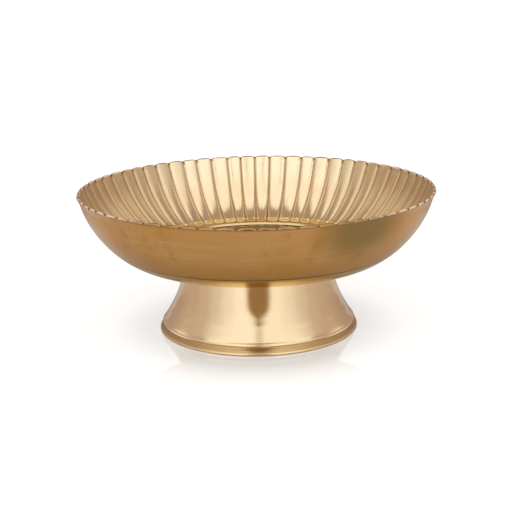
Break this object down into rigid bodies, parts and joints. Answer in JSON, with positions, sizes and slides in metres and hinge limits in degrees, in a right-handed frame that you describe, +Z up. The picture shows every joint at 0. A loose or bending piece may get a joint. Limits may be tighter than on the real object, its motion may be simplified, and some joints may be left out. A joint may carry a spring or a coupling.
{
  "type": "footed brass bowl",
  "caption": "Footed brass urli bowl: wide turned bowl with a gadrooned inside and scalloped rim on a flared hollow pedestal foot, held by one bolt from below.",
  "frame": {"origin": "centre of the foot's ground face, on the surface that the object stands on", "axes": "+Z up along the axis that the bowl and foot are turned about; X and Y each run through a groove between ribs"},
  "size_m": [0.203, 0.203, 0.0821],
  "materials": {
    "bowl_brass": "lathe-brushed satin outside, polished satin inside",
    "foot_brass": "polished satin with fine turning lines",
    "washer_steel": "zinc-plated, dull",
    "spring_steel": "zinc-plated, dull",
    "bolt_steel": "zinc-plated, dull"
  },
  "bodies": {
    "root": {"bowl": "bowl_brass", "pedestal_foot": "foot_brass", "plain_washer": "washer_steel", "spring_washer": "spring_steel", "hex_bolt": "bolt_steel"}
  },
  "joints": []
}
